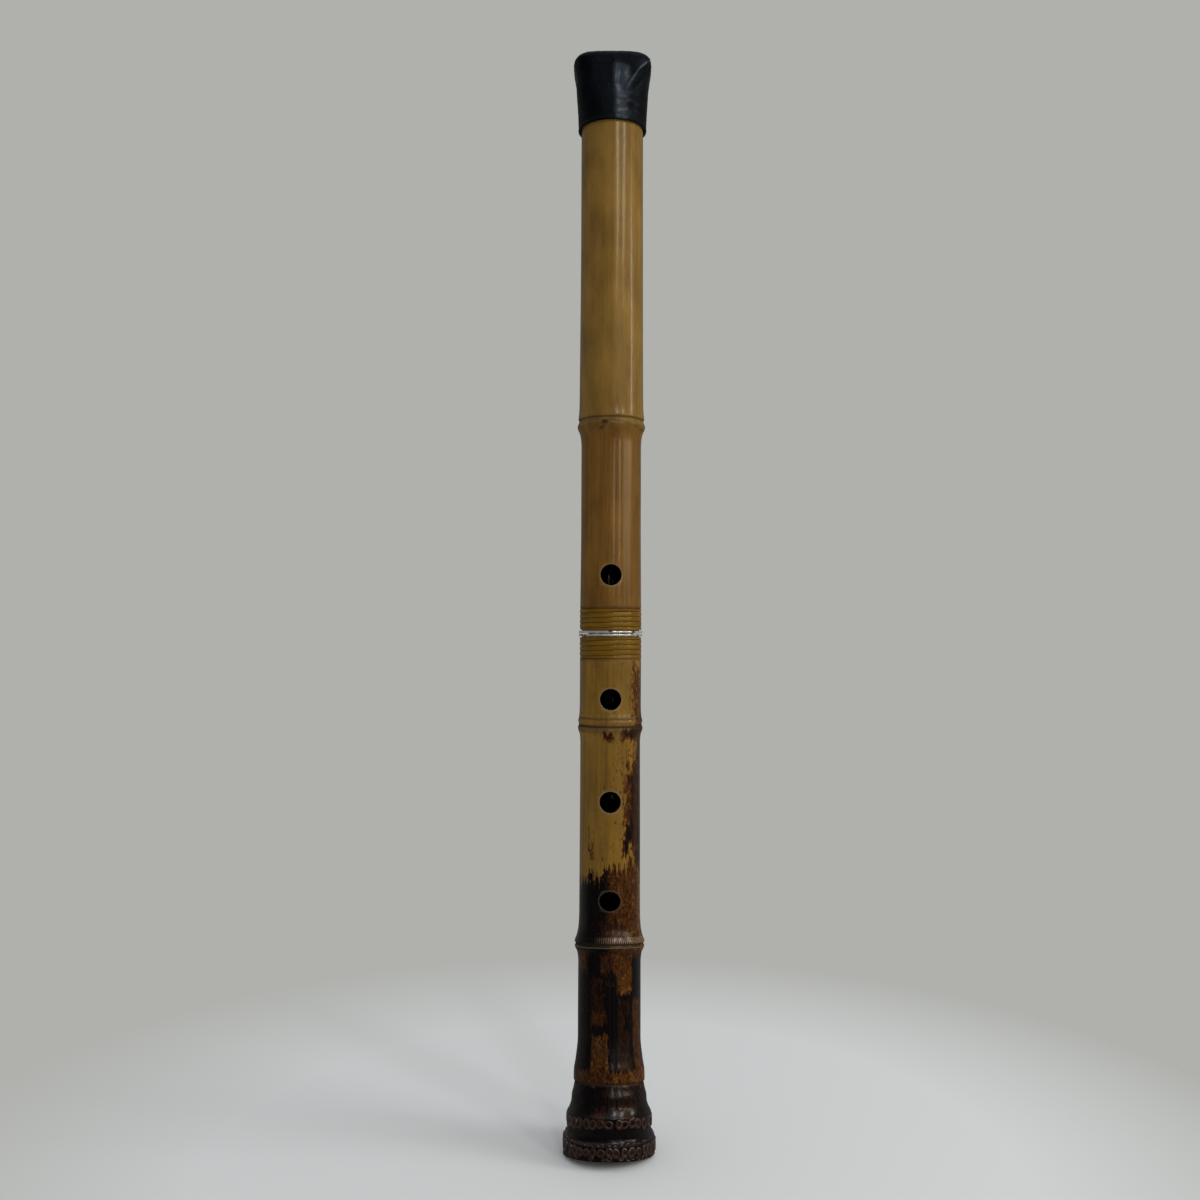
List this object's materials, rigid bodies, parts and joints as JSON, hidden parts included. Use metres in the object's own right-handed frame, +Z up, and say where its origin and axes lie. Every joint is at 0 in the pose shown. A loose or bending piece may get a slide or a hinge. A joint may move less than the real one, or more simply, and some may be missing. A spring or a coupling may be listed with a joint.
{
  "type": "end-blown bamboo flute",
  "caption": "Upright end-blown bamboo flute in two jointed sections, with finger and thumb holes, a curved root-ring bell, a bound ring joint and a pull-off mouth cap.",
  "frame": {"origin": "centre of the outline on the plane that the flute stands on; the straight part's axis lies 5.5 mm behind it, at y = +5.51 mm", "axes": "+Z up along the flute from the root end to the mouth; the finger holes face -Y and the thumb hole +Y"},
  "size_m": [0.0468, 0.0506, 0.5498],
  "materials": {
    "golden_bamboo": "polished golden bamboo rind with a clear gloss",
    "root_bamboo": "polished bamboo stained dark towards the root, glossy",
    "black_lacquer": "black urushi lacquer, glossy",
    "horn": "polished black buffalo horn",
    "silver": "polished silver, lightly worn",
    "rattan": "lacquered brown rattan strip",
    "black_leather": "soft black leather with a dull gloss and creases",
    "dark_felt": "dark wool felt"
  },
  "bodies": {
    "lower_flute": {"lower_bamboo": "root_bamboo", "lower_bore_lining": "black_lacquer", "socket_lining": "black_lacquer", "lower_silver_ring": "silver", "lower_rattan_binding": "rattan"},
    "joint_collar": {"upper_silver_ring": "silver"},
    "upper_flute": {"upper_bamboo": "golden_bamboo", "upper_bore_lining": "black_lacquer", "upper_rattan_binding": "rattan", "tenon": "black_lacquer", "mouth_inlay": "horn"},
    "mouth_cap": {"cap_wall": "black_leather", "cap_crown": "black_leather", "cap_pad": "dark_felt"}
  },
  "joints": [
    {"name": "joint_pull", "type": "slide", "parent": "lower_flute", "child": "joint_collar", "axis": [0, 0, 1], "range_m": [0, 0.032]},
    {"name": "joint_twist", "type": "hinge", "parent": "joint_collar", "child": "upper_flute", "pos_m": [0, 0.00551, 0.2575], "axis": [0, 0, 1], "continuous": true},
    {"name": "cap_pull", "type": "slide", "parent": "upper_flute", "child": "mouth_cap", "axis": [0, 0, 1], "range_m": [0, 0.036]}
  ]
}
